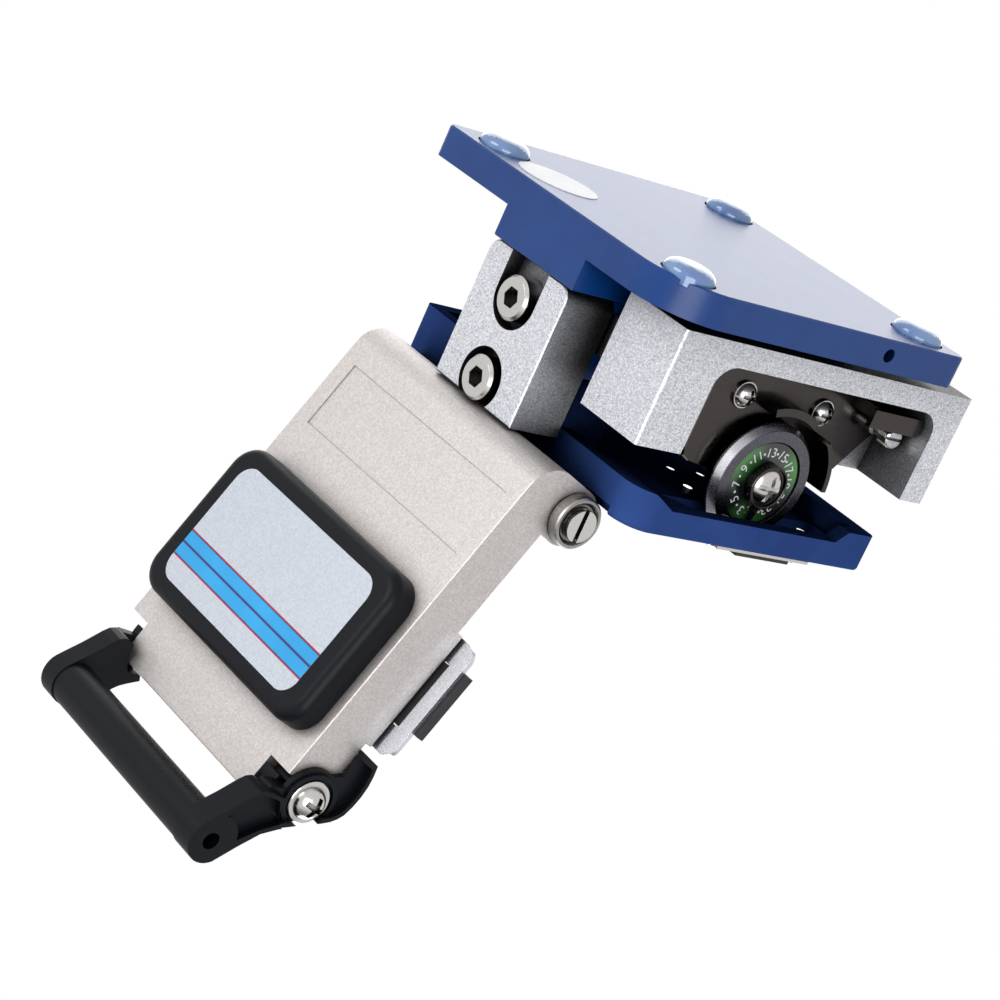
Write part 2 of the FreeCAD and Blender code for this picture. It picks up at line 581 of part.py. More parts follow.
# ---- lever -------------------------------------------------------------------------------------------------
def make_lever():
    back, front = LEVER_U
    low, top = LEVER_V
    radius = 5.4
    corner = (back + radius, top - radius)
    shell = [(back, low)] + arc_points(corner, radius, 180, 90) + [(front, top), (front, low)]
    outer = lever_prism(shell, LEVER_X)
    sides = edges_where(outer, lambda m, e: m.z > HINGE_Z + top - 0.01)
    outer = outer.makeFillet(0.2, sides)
    inner_x = (LEVER_X[0] + WALL, LEVER_X[1] - WALL)
    hollow = [(back + 2.0, low - 1)] + arc_points(corner, radius - 2.2, 180, 90)
    hollow += [(front - WALL, top - SHELL), (front - WALL, low - 1)]
    hollow = [(u, min(v, top - SHELL)) for u, v in hollow]
    body = outer.cut(lever_prism(hollow, inner_x))
    lugs = []
    for x in ((LEVER_X[0], inner_x[0]), (inner_x[1], LEVER_X[1])):
        lugs.append(cyl("x", (HINGE_Y, HINGE_Z), 5.0, x))
        lugs.append(lever_box(x, (-5.0, 4.9), (0.0, low + 0.5)))
    carrier = lever_box((CARRIER_X, LEVER_X[1]), CARRIER_U, (PLATE_V[1] + FLOAT + 0.05, top - 1))
    boss_place = MAGNET
    magnet_boss = cyl("z", boss_place, 4.2, (TOP_Z + 1.35, HINGE_Z + top - 1))
    corner_blocks = [
        lever_box((RIGHT_NOTCH_X - 5.0, RIGHT_NOTCH_X + 1), (51.5, front - 0.5), (low, top - 1)),
        lever_box((LEFT_NOTCH_X - 1, LEFT_NOTCH_X + 5.0), (51.5, front - 0.5), (low, top - 1)),
    ]
    body = fuse(body, carrier, magnet_boss, *corner_blocks, *lugs)
    tools = [
        lever_box((RIGHT_NOTCH_X, LEVER_X[1] + 1), (NOTCH_U, front + 1), (-3, top + 1)),
        lever_box((LEVER_X[0] - 1, LEFT_NOTCH_X), (NOTCH_U, front + 1), (-3, top + 1)),
        cyl("x", (HINGE_Y, HINGE_Z), PIN_R + RUNNING, (LEVER_X[0] - 1, LEVER_X[1] + 1)),
        lever_box((-24.9, 20.5), (3.3, 15.4), (top - 0.25, top + 1)),
        cyl("z", boss_place, 3.05, (TOP_Z, TOP_Z + 2.6)),
    ]
    pivot = lever_point(PIVOT_U, PIVOT_V)
    tools.append(cyl("x", pivot, LUG_R + 0.3, (RIGHT_NOTCH_X, LEVER_X[1] + 1)))
    tools.append(cyl("x", pivot, LEFT_BOSS_R + 0.4, (LEVER_X[0] - 1, LEFT_NOTCH_X)))
    tools.append(cyl("x", pivot, 1.3, (RIGHT_NOTCH_X - 4.2, RIGHT_NOTCH_X + 1)))
    tools.append(cyl("x", pivot, 1.3, (LEFT_NOTCH_X - 1, LEFT_NOTCH_X + 4.2)))
    tools += [cyl("z", place, 0.85, (HINGE_Z - 2, HINGE_Z + 5)) for place in clamp_screw_places()]
    return cut(body, *tools)


def clamp_screw_places():
    return [(14.2, HINGE_Y - u) for u in (29.5, 42.5)]


def make_label_pad():
    pad = lever_box(PAD_X, PAD_U, PAD_V)
    pad = pad.makeFillet(5.0, edges_where(pad, lambda m, e: upright(e)))
    top = HINGE_Z + PAD_V[1]
    pad = pad.makeFillet(1.8, edges_where(pad, lambda m, e: m.z > top - 0.01))
    return pad.cut(label_shape(0.0))


def label_shape(inset):
    plate = lever_box(
        (LABEL_X[0] + inset, LABEL_X[1] - inset), (LABEL_U[0] + inset, LABEL_U[1] - inset),
        (PAD_V[1] - LABEL_SINK, PAD_V[1]),
    )
    return plate.makeFillet(3.4 - inset, edges_where(plate, lambda m, e: upright(e)))


def make_clamp_plate():
    plate = lever_box((13.0 - 0.8, 27.3), (CARRIER_U[0] + 0.2, CARRIER_U[1] - 0.2), PLATE_V)
    plate = plate.makeFillet(2.5, edges_where(plate, lambda m, e: upright(e) and m.x > 20))
    slot = lever_box(ANVIL_X_SLOT, (29.4, 42.0), (PLATE_V[0] - 1, PLATE_V[1] + 1))
    holes = [cyl("z", place, 0.9, (HINGE_Z - 3, HINGE_Z + 1)) for place in clamp_screw_places()]
    return cut(plate, slot, *holes)


def make_upper_pads():
    u = (HINGE_Y - PAD_Y[1], HINGE_Y - PAD_Y[0])
    low = FIBRE_Z + 0.05 - HINGE_Z
    return [lever_box(x, u, (low, PLATE_V[0])) for x in ((LEFT_PAD_X[0], LEFT_PAD_X[1] - 0.2), (24.9, 28.2))]


def make_anvil():
    x = (ANVIL_X_SLOT[0] + 0.05, ANVIL_X_SLOT[1] - 0.05)
    return lever_box(x, (29.6, 41.8), (FIBRE_Z + 0.3 - HINGE_Z, PLATE_V[1]))


def make_clamp_screws():
    screw = pan_screw(0.8, 4.0, 1.7, 0.8)
    return [aim(screw, (*place, HINGE_Z + PLATE_V[0]), (0, 0, -1)) for place in clamp_screw_places()]


# ---- folding handle ----------------------------------------------------------------------------------------
def eye_arc():
    """Round end of an arm, from its lower edge over the end to its upper edge."""
    return arc_points((BAR_U, BAR_V), EYE_R, -48, 118, 16)


def inner_edge(points, wall):
    """The same open line of points, moved upwards by a wall's thickness."""
    moved = []
    for k, (u, v) in enumerate(points):
        u0, v0 = points[max(k - 1, 0)]
        u1, v1 = points[min(k + 1, len(points) - 1)]
        length = math.hypot(u1 - u0, v1 - v0)
        moved.append((u + wall * (v1 - v0) / length, v - wall * (u1 - u0) / length))
    return moved


def make_right_arm():
    pivot = lever_point(*PIVOT)
    flange = [(48.1, 2.8), (53.0, 2.8)] + arc_points(PIVOT, 5.5, 194, 82) + [(60.4, 12.5)]
    flange += UPPER_EDGE[::-1] + eye_arc()[::-1] + UNDERSIDE
    flange = lever_prism(flange, FLANGE_X)
    beam = arc_points(PIVOT, 5.9, 22, 78) + UPPER_EDGE[::-1] + eye_arc()[::-1] + UNDERSIDE[:3]
    beam = lever_prism(beam, ARM_X)
    rim_line = UNDERSIDE[2:]
    rim = lever_prism(rim_line + inner_edge(rim_line, 0.75)[::-1], (FLANGE_X[0], TAIL_RIM_X))
    tip = lever_prism([(48.1, 2.8), (49.2, 2.8), (49.4, 0.2), (48.5, -0.1)], (FLANGE_X[0], TAIL_RIM_X))
    lug = cyl("x", pivot, LUG_R, (RIGHT_NOTCH_X + 0.25, FLANGE_X[0] + 0.5))
    hump = [PIVOT] + arc_points(PIVOT, HUMP_R, 96, 16)
    hump = lever_prism(hump, (RIGHT_NOTCH_X + 0.25, ARM_X[0] + 0.5))
    bridge = [(58.9, 9.0), (60.2, 13.6), (62.4, 14.5), (66.0, 11.5), (64.4, 7.6)]
    bridge = lever_prism(bridge, (ARM_X[0], FLANGE_X[1]))
    ring = cyl("x", pivot, 4.95, (FLANGE_X[1] - 0.2, FLANGE_X[1] + 0.5))
    ring = ring.cut(cyl("x", pivot, 4.2, (FLANGE_X[0], FLANGE_X[1] + 1)))
    above = lever_prism([(48.0, 14.0), (72.0, 14.0)] + UNDERSIDE[1:], (FLANGE_X[0], FLANGE_X[1] + 1))
    ring = ring.common(above)
    body = fuse(flange, beam, rim, tip, lug, hump, bridge, ring)
    web = arc_points((BAR_U, BAR_V), 4.6, 243, 172, 8) + [(66.1, 18.4), (64.0, 17.2), (62.4, 16.3)]
    web += [(61.6, 15.2), (61.2, 11.9), (63.2, 9.9), (64.3, 8.7), (66.6, 11.2)]
    pocket = lever_prism(web, (FLANGE_X[1] + 0.3, ARM_X[1] + 1))
    round_screw = cyl("x", pivot, 3.95, (FLANGE_X[1], ARM_X[1] + 1))
    shank = cyl("x", pivot, 1.5 + RUNNING, (RIGHT_NOTCH_X - 1, ARM_X[1] + 1))
    rod = cyl("x", lever_point(BAR_U, BAR_V), 1.45, (ARM_X[0] - 1, ARM_X[1] + 1))
    return cut(body, pocket, round_screw, shank, rod)


def make_left_arm():
    near_lever = arc_points(PIVOT, 8.0, 76, 40, 6) + [(65.5, 10.6), (64.9, 7.8), (65.7, 7.2)]
    beam = [(60.9, 14.6)] + near_lever + [(67.1, 8.9), (68.1, 10.0), (69.2, 10.8), (70.7, 11.5)]
    beam += arc_points((BAR_U, BAR_V), EYE_R, -40, 118, 16) + UPPER_EDGE
    beam = lever_prism(beam, LEFT_ARM_X)
    boss = cyl("x", lever_point(*PIVOT), LEFT_BOSS_R, STUB_X)
    stub = [PIVOT] + arc_points(PIVOT, HUMP_R, 96, 80, 4)
    stub += [(60.9, 14.2), (64.4, 16.0), (67.4, 13.0), (65.2, 7.6)]
    stub = lever_prism(stub, STUB_X)
    body = fuse(beam, boss, stub)
    shank = cyl("x", lever_point(*PIVOT), 1.5 + RUNNING, (STUB_X[0] - 1, STUB_X[1] + 1))
    rod = cyl("x", lever_point(BAR_U, BAR_V), 1.45, (LEFT_ARM_X[1] - 3.0, LEFT_ARM_X[1] + 1))
    return cut(body, shank, rod)


def make_bar():
    span = (LEFT_ARM_X[1], ARM_X[0])
    bar = cyl("x", lever_point(BAR_U, BAR_V), BAR_R, span)
    return bar.cut(cyl("x", lever_point(BAR_U, BAR_V), 1.45, span))


def make_handle_screws():
    y, z = lever_point(*PIVOT)
    shank = FLANGE_X[1] - RIGHT_NOTCH_X
    right = fuse(
        pan_screw(1.5, shank, 2.9, 2.1), Part.makeCylinder(1.25, 3.6, Vector(0, 0, -shank - 3.5))
    )
    left = fuse(pan_screw(1.5, 1.6, 2.6, 1.7), Part.makeCylinder(1.25, 3.9, Vector(0, 0, -5.2)))
    return [
        aim(right, (FLANGE_X[1] + WASHER_T, y, z), (1, 0, 0)),
        aim(left, (STUB_X[0] - 0.28, y, z), (-1, 0, 0)),
    ]


def make_handle_washers():
    y, z = lever_point(*PIVOT)
    right = washer(1.55, 3.75, WASHER_T)
    right = right.makeChamfer(0.15, edges_where(right, lambda m, e: m.z > WASHER_T - 0.01))
    return [
        aim(right, (FLANGE_X[1], y, z), (1, 0, 0)),
        aim(washer(1.55, 3.2, 0.25), (STUB_X[0] - 0.03, y, z), (-1, 0, 0)),
    ]


# ---- collect -----------------------------------------------------------------------------------------------
parts["base_casting"] = [make_base()]
parts["rubber_feet"] = make_feet()
parts["underside_disc"] = [cyl("z", (-12.6, 23.2), 6.9, (-0.12, 0))]
parts["rear_block"] = [make_rear_block()]
parts["rear_block_screws"] = [
    aim(socket_screw(2.0, 15.0, 3.7, 4.0, 1.8), (BLOCK_SCREW_X, BLOCK_Y - BLOCK_SINK, z), (0, 1, 0))
    for z in BLOCK_SCREW_Z
]
parts["slide_rail"] = [make_rail()]
parts["rail_screws"] = [
    aim(socket_screw(0.8, 6.0, 1.5, 1.3), (RAIL_X[1] - 1.7, *place), (1, 0, 0)) for place in rail_screw_places()
]
parts["slider_stop_pins"] = [
    cyl("x", place, 0.58, (RAIL_X[1] - 2, RAIL_X[1] + 2.2)) for place in stop_pin_places()
]
parts["platform"] = [make_platform()]
parts["pad_strips"] = make_pad_strips()
parts["lower_pads"] = make_lower_pads()
parts["pad_screws"] = make_pad_screws()
parts["corner_screw"] = [aim(pan_screw(0.8, 2.0, 1.4, 0.9), (*CORNER_SCREW, SIDE_CUT_Z + 1.2), (0, 0, -1))]
parts["fibre_guide"] = [make_fibre_guide()]
parts["guide_screws"] = [
    aim(pan_screw(0.8, 4.0, 1.6, 0.8), (*place, TOP_Z + 1.1), (0, 0, 1)) for place in guide_screw_places()
]
parts["platform_magnet"] = [cyl("z", MAGNET, 3.0, (TOP_Z - 2.0, TOP_Z))]
parts["hinge_pin"] = [
    fuse(
        cyl("x", (HINGE_Y, HINGE_Z), PIN_R, (LEVER_X[0] - 0.9, LEVER_X[1] + 1.9)),
        cyl("x", (HINGE_Y, HINGE_Z), 2.75, (LEVER_X[1] + 1.9, LEVER_X[1] + 3.2)),
    ).cut(box((LEVER_X[1] + 2.3, LEVER_X[1] + 4), (HINGE_Y - 0.3, HINGE_Y + 0.6), (HINGE_Z - 4, HINGE_Z + 4)))
]
parts["hinge_collar"] = [
    turned(
        [
            (PIN_R + 0.02, 0), (4.2, 0), (4.4, 0.2), (4.4, 1.9), (4.15, 2.15), (3.7, 2.15), (3.2, 1.6),
            (PIN_R + 0.02, 1.6),
        ],
        (LEVER_X[1] + 0.2, HINGE_Y, HINGE_Z), (1, 0, 0),
    )
]
parts["hinge_clip"] = [aim(washer(PIN_R + 0.02, 3.4, 0.5), (LEVER_X[0] - 0.2, HINGE_Y, HINGE_Z), (-1, 0, 0))]

parts["slider_body"] = [make_slider()]
parts["slider_carriage"] = [make_carriage()]
parts["carriage_screws"] = [
    aim(socket_screw(0.8, 4.8, 1.6, 1.3), (WEB_X - 1.6, *place), (1, 0, 0)) for place in carriage_screw_places()
]
parts["blade_bracket"] = [make_bracket()]
parts["bracket_washers"] = [
    aim(washer(1.1, 2.3, 0.5), (BRACKET_X[1], *place), (1, 0, 0)) for place in bracket_screw_places()
]
parts["bracket_screws"] = [
    aim(pan_screw(1.0, 4.0, 2.1, 1.5), (BRACKET_X[1] + 0.5, *place), (1, 0, 0))
    for place in bracket_screw_places()
]
parts["adjuster_block"] = [make_adjuster_block()]
parts["adjuster_screw"] = [make_adjuster_screw()]
parts["wheel_axle"] = [make_axle()]
parts["dial_hub"] = [make_hub()]
parts["hub_screw"] = [make_hub_screw()]
parts["dial_pointer"] = [make_pointer()]
parts["blade_wheel"] = [make_wheel()]
parts["number_dial"] = [make_dial()]

lever_parts = {
    "lever_casting": [make_lever()],
    "label_pad": [make_label_pad()],
    "label_plate": [label_shape(0.05)],
    "clamp_plate": [make_clamp_plate()],
    "upper_pads": make_upper_pads(),
    "anvil": [make_anvil()],
    "clamp_screws": make_clamp_screws(),
    "lever_magnet": [cyl("z", MAGNET, 3.0, (TOP_Z + 0.6, TOP_Z + 2.6))],
    "handle_right_arm": [make_right_arm()],
    "handle_left_arm": [make_left_arm()],
    "handle_bar": [make_bar()],
    "handle_rod": [cyl("x", lever_point(BAR_U, BAR_V), 1.4, (LEFT_ARM_X[1] - 2.6, ARM_X[0] + 1.2))],
    "handle_screws": make_handle_screws(),
    "handle_washers": make_handle_washers(),
}
for name, solids in lever_parts.items():
    parts[name] = [swing_open(solid) for solid in solids]

whole = Part.makeCompound([solid for solids in parts.values() for solid in solids]).BoundBox
shift = Vector(-(whole.XMin + whole.XMax) / 2, -(whole.YMin + whole.YMax) / 2, -whole.ZMin)
os.makedirs("parts", exist_ok=True)
for name, solids in parts.items():
    for solid in solids:
        solid.translate(shift)
    shape = solids[0] if len(solids) == 1 else Part.makeCompound(solids)
    if any(not solid.isValid() or len(solid.Solids) != 1 for solid in solids):
        print("check", name, [solid.isValid() for solid in solids], [len(solid.Solids) for solid in solids])
    shape.exportStep(f"parts/{name}.step")
print("nodes", len(parts), "size", round(whole.XLength, 2), round(whole.YLength, 2), round(whole.ZLength, 2))
print("shift", round(shift.x, 4), round(shift.y, 4), round(shift.z, 4))
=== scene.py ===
# %% [markdown]
# # A fibre cleaver, dressed for its picture
#
# A fibre cleaver scores a glass fibre with a small carbide wheel and snaps it clean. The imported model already
# gives every piece its shape, its place and the body that it moves with. This lesson adds what the model can't
# hold: the finish of each surface, the numbers on the dial, the stripes on the label, the scale on the fibre
# guide, a floor, the lights and the camera.

# %% Load the frame
import bpy
import json
import math
from mathutils import Matrix, Vector


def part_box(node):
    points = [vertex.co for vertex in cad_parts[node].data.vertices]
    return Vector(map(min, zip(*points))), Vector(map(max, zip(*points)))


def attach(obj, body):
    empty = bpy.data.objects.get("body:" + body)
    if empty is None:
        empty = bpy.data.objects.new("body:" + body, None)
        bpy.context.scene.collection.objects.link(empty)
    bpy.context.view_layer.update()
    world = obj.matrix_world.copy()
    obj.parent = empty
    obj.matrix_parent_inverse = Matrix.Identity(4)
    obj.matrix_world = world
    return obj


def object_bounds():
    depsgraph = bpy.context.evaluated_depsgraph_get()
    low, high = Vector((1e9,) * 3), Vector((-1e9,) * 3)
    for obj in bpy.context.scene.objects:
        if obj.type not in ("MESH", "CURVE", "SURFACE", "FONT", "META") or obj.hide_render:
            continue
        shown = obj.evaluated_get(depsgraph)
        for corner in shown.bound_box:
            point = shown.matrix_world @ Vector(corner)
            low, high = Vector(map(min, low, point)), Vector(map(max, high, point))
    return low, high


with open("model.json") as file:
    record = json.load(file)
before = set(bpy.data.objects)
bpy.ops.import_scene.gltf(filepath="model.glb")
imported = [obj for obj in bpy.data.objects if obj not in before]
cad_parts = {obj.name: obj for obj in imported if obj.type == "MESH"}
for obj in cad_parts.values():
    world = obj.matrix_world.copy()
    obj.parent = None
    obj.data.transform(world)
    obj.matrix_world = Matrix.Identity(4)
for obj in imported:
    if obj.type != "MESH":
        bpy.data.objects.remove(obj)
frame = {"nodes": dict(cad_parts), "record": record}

MM = 0.001
nodes = frame["nodes"]
cad_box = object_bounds()
print(len(nodes), "nodes in the frame")

# %% [markdown]
# ## Where things are
#
# The lever stands open, so its own directions are tilted. They could be typed in as numbers, but then a change of
# the opening angle would leave the label's print behind. They are worked out from the hinge joint instead: `along`
# runs from the hinge to the lever's free end, and `out` points away from its outer face.

# %% Directions and centres
joints = {joint["name"]: joint for joint in frame["record"]["behaviour"]["joints"]}
hinge = Vector(joints["lever_hinge"]["pos_m"])
dial_centre = Vector(joints["blade_index"]["pos_m"])
open_angle = math.radians(joints["lever_hinge"]["range_deg"][1])
along = Vector((0, math.cos(math.pi - open_angle), math.sin(math.pi - open_angle)))
out = Vector((0, along.z, -along.y))
print("lever direction", [round(c, 3) for c in along], "outer face", [round(c, 3) for c in out])

# %% [markdown]
# ## Small helpers for nodes
#
# A material is a Principled shader with a few nodes in front of it. Building each node by hand takes four or five
# lines, and most of them repeat, so `add` makes a node and sets its plain inputs in one go, `link` joins two
# sockets, and `new_group` starts a node group.

# %% Node helpers
def add(tree, kind, x=0, y=0, **inputs):
    """A new shader node at (x, y) with some of its inputs set; underscores in a name stand for spaces."""
    node = tree.nodes.new(kind)
    node.location = (x, y)
    for name, value in inputs.items():
        node.inputs[name.replace("_", " ")].default_value = value
    return node


def add_math(tree, operation, x=0, y=0, kind="ShaderNodeMath"):
    """A math or vector math node that is set to an operation."""
    node = add(tree, kind, x, y)
    node.operation = operation
    return node


def link(tree, source, target):
    tree.links.new(source, target)


def new_group(name, inputs, outputs):
    """An empty node group with float inputs given as {name: default} and outputs as {name: socket type}."""
    group = bpy.data.node_groups.new(name, "ShaderNodeTree")
    for label, value in inputs.items():
        socket = group.interface.new_socket(label, in_out="INPUT", socket_type="NodeSocketFloat")
        socket.default_value = value
    for label, kind in outputs.items():
        group.interface.new_socket(label, in_out="OUTPUT", socket_type=kind)
    enter, leave = group.nodes.new("NodeGroupInput"), group.nodes.new("NodeGroupOutput")
    enter.location, leave.location = (-900, 0), (500, 0)
    return group, enter, leave


print("helpers: add, add_math, link, new_group")

# %% [markdown]
# ## Softened edges
#
# A machined part always has a small break on its edges, and that break catches the light. It could be cut into
# every mesh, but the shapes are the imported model's and stay as they are. A Bevel node bends the surface normal
# near an edge instead, so only the shading changes.

# %% Softened edges
EDGE_RADIUS = 0.06   # millimetres


def softened_edge(tree):
    """The surface normal with sharp edges rounded over."""
    edge = add(tree, "ShaderNodeBevel", -200, -350, Radius=EDGE_RADIUS * MM)
    edge.samples = 4
    return edge.outputs["Normal"]


print("edges look rounded by", EDGE_RADIUS, "mm")

# %% [markdown]
# ## Grain
#
# Cast, blasted and moulded surfaces have a fine tooth. A displaced mesh would need millions of faces for it, so
# noise feeds a bump instead. The group also gives three masks. Fine follows the tooth, Slow is a soft cloudiness,
# and Spark gives each tiny facet a tone of its own, a painted glint for the way the facets of blasted metal catch
# the light one by one.

# %% Grain group
def make_grain():
    """Fine noise as a normal, and three masks: fine tooth, slow cloudiness and sparks."""
    group, enter, leave = new_group(
        "grain",
        {"Size": 0.3, "Depth": 0.3},
        {"Normal": "NodeSocketVector", **dict.fromkeys(("Fine", "Slow", "Spark"), "NodeSocketFloat")},
    )
    place = add(group, "ShaderNodeTexCoord", -900, 300)
    scale = add_math(group, "DIVIDE", -700, 0)
    scale.inputs[0].default_value = 1 / MM
    fine = add(group, "ShaderNodeTexNoise", -450, 200, Detail=3.0, Roughness=0.7)
    slow = add(group, "ShaderNodeTexNoise", -450, -150, Scale=90.0, Detail=4.0, Roughness=0.6)
    spark = add(group, "ShaderNodeTexVoronoi", -450, 450)
    bump = add(group, "ShaderNodeBump", 100, 100, Distance=0.05 * MM)
    link(group, enter.outputs["Size"], scale.inputs[1])
    for texture in (fine, spark):
        link(group, scale.outputs[0], texture.inputs["Scale"])
    for texture in (fine, slow, spark):
        link(group, place.outputs["Object"], texture.inputs["Vector"])
    link(group, enter.outputs["Depth"], bump.inputs["Strength"])
    link(group, fine.outputs["Fac"], bump.inputs["Height"])
    link(group, softened_edge(group), bump.inputs["Normal"])
    link(group, bump.outputs["Normal"], leave.inputs["Normal"])
    link(group, fine.outputs["Fac"], leave.inputs["Fine"])
    link(group, slow.outputs["Fac"], leave.inputs["Slow"])
    link(group, spark.outputs["Color"], leave.inputs["Spark"])
    return group


grain = make_grain()
print("group:", grain.name)

# %% [markdown]
# ## Brushing
#
# Turned and ground steel shows fine scratches in one direction. A wave texture would look too regular, so the
# group stretches noise: a high scale across the scratches and a low one lengthwise.

# %% Brushing group
def make_brushing():
    """Fine parallel scratches across a chosen direction, as a normal and a mask."""
    group, enter, leave = new_group(
        "brushing",
        {"Across": 4000.0, "Lengthwise": 60.0, "Depth": 0.2},
        {"Normal": "NodeSocketVector", "Fine": "NodeSocketFloat"},
    )
    place = add(group, "ShaderNodeTexCoord", -900, 300)
    stretch = add(group, "ShaderNodeCombineXYZ", -700, 0)
    warp = add_math(group, "MULTIPLY", -500, 200, kind="ShaderNodeVectorMath")
    lines = add(group, "ShaderNodeTexNoise", -300, 200, Scale=1.0, Detail=3.0, Roughness=0.7)
    bump = add(group, "ShaderNodeBump", 100, 100, Distance=0.03 * MM)
    link(group, enter.outputs["Lengthwise"], stretch.inputs["X"])
    link(group, enter.outputs["Across"], stretch.inputs["Y"])
    link(group, enter.outputs["Across"], stretch.inputs["Z"])
    link(group, place.outputs["Object"], warp.inputs[0])
    link(group, stretch.outputs[0], warp.inputs[1])
    link(group, warp.outputs[0], lines.inputs["Vector"])
    link(group, enter.outputs["Depth"], bump.inputs["Strength"])
    link(group, lines.outputs["Fac"], bump.inputs["Height"])
    link(group, softened_edge(group), bump.inputs["Normal"])
    link(group, bump.outputs["Normal"], leave.inputs["Normal"])
    link(group, lines.outputs["Fac"], leave.inputs["Fine"])
    return group


brushing = make_brushing()
print("group:", brushing.name)

# %% [markdown]
# ## Painted shade in the hollows
#
# Little light reaches a counterbore or the gap behind the slider, and bare metal in it never shines. These groups
# paint that shade into the colour. Painting each hollow by hand would miss some at other poses. Ambient occlusion
# finds them all. One group looks at every piece near by. The other counts a piece's own walls only, for the base
# and what is fixed under it: they are so near the floor that the first would take their undersides for hollows.

# %% Hollows groups
def make_hollows(name, own):
    """A mask that is 1 in the open and Least deep in a gap of width Reach, in metres.

    With own, only the piece's own walls count.
    """
    group, enter, leave = new_group(name, {"Reach": 0.008, "Least": 0.15}, {"Open": "NodeSocketFloat"})
    # The mask is painted shade: it darkens a colour wherever occlusion finds walls near by.
    around = add(group, "ShaderNodeAmbientOcclusion", -500, 0)
    around.samples, around.only_local = 8, own
    level = add(group, "ShaderNodeMapRange", 0, 0, From_Min=0.25, From_Max=0.85)
    link(group, enter.outputs["Reach"], around.inputs["Distance"])
    link(group, enter.outputs["Least"], level.inputs["To Min"])
    link(group, around.outputs["AO"], level.inputs["Value"])
    link(group, level.outputs["Result"], leave.inputs["Open"])
    return group


hollows, own_hollows = make_hollows("hollows", False), make_hollows("own_hollows", True)
print("groups:", hollows.name, own_hollows.name)

# %% [markdown]
# ## Building a finish
#
# No real surface has one flat colour. Every finish here runs between two close tones and between two roughness
# values, both driven by a group's mask, and carries a painted shade that darkens it in the hollows. It could be
# a separate node tree for each material, but a single recipe with settings keeps them alike and short. What is
# the same all over a surface is set on the shader itself.

# %% Mixing masks and colours
def use_group(tree, group, x=-700, y=0, **inputs):
    """The group as a node, with some of its inputs set."""
    node = add(tree, "ShaderNodeGroup", x, y)
    node.node_tree = group
    for name, value in inputs.items():
        node.inputs[name].default_value = value
    return node


def ramp(tree, mask, low, high, stops=(0.35, 0.65), x=-450, y=200):
    """A colour ramp between two colours, fed by mask."""
    node = add(tree, "ShaderNodeValToRGB", x, y)
    first, last = node.color_ramp.elements
    first.position, last.position = stops
    first.color, last.color = (*low, 1), (*high, 1)
    link(tree, mask, node.inputs["Fac"])
    return node.outputs["Color"]


def spread(tree, mask, low, high, x=-350, y=-150):
    """Maps a mask from its usual range to between two numbers."""
    node = add(tree, "ShaderNodeMapRange", x, y, From_Min=0.3, From_Max=0.7, To_Min=low, To_Max=high)
    link(tree, mask, node.inputs["Value"])
    return node.outputs["Result"]


def blend_colours(tree, one, two, factor=1.0, kind="MIX", x=-180, y=300):
    """Mixes or multiplies two colours; factor is a number or a mask, and two may be a mask."""
    node = add(tree, "ShaderNodeMix", x, y)
    node.data_type, node.blend_type = "RGBA", kind
    sockets = {socket.identifier: socket for socket in node.inputs}
    link(tree, one, sockets["A_Color"])
    link(tree, two, sockets["B_Color"])
    if isinstance(factor, float):
        sockets["Factor_Float"].default_value = factor
    else:
        link(tree, factor, sockets["Factor_Float"])
    return next(socket for socket in node.outputs if socket.identifier == "Result_Color")


print("colour helpers: use_group, ramp, spread, blend_colours")

# %% The finish function
SPARK_STOPS, NOISE_STOPS = (0.05, 0.95), (0.35, 0.65)


def finish(
    name, low, high, rough, group=None, mask="Fine", settings=None, deep=(8.0, 0.15), own=False, coat=0.0, **shader
):
    """A material that runs between the colours low and high, and between two roughness values.

    group and settings give its grain or brushing, and mask picks what drives the colour. deep is how far it
    looks for walls, in millimetres, and what share of the colour is left in a hollow as painted shade. coat is a
    clear coat that thins out in the hollows, a painted shade on its sheen. Other names are inputs of the shader
    itself.
    """
    material = bpy.data.materials.new(name)
    material.use_nodes = True
    tree = material.node_tree
    principled = tree.nodes["Principled BSDF"]
    source = use_group(tree, group or grain, **(settings or {}))
    stops = SPARK_STOPS if mask == "Spark" else NOISE_STOPS
    colour = ramp(tree, source.outputs[mask], low, high, stops)
    # Painted shade: the colour is multiplied by the hollows mask, so it darkens where walls stand near by.
    shade = use_group(tree, own_hollows if own else hollows, -700, 500, Reach=deep[0] * MM, Least=deep[1])
    tone = blend_colours(tree, colour, shade.outputs["Open"], kind="MULTIPLY")
    link(tree, tone, principled.inputs["Base Color"])
    link(tree, spread(tree, source.outputs["Fine"], *rough), principled.inputs["Roughness"])
    link(tree, source.outputs["Normal"], principled.inputs["Normal"])
    if coat:
        # Painted shade on the sheen: the coat thins out where the hollows mask is dark.
        coat_thinned_in_shade = add(tree, "ShaderNodeMapRange", -350, -400, From_Min=0.5, From_Max=1.0, To_Max=coat)
        link(tree, shade.outputs["Open"], coat_thinned_in_shade.inputs["Value"])
        link(tree, coat_thinned_in_shade.outputs["Result"], principled.inputs["Coat Weight"])
    for key, value in shader.items():
        principled.inputs[key.replace("_", " ")].default_value = value
    return material


looks = {}
print("finish is ready")

# %% [markdown]
# ## Blue enamel
#
# The base and the platform are enamelled castings. One finish could serve both. The base's broad underside
# has the sheen of a clear coat, though, and the same coat would turn the ceiling of the platform's tray white,
# because it is seen almost edge-on. So the platform gets a matt enamel, with a painted shade that darkens its
# colour far into the tray.

# %% Blue enamel
def blue_enamel(name, low, high, **more):
    """Enamel with a slow cloudiness and hardly any grain."""
    return finish(
        name, low, high, (0.36, 0.44),
        mask="Slow", settings={"Size": 0.3, "Depth": 0.12}, Coat_Roughness=0.34, **more,
    )


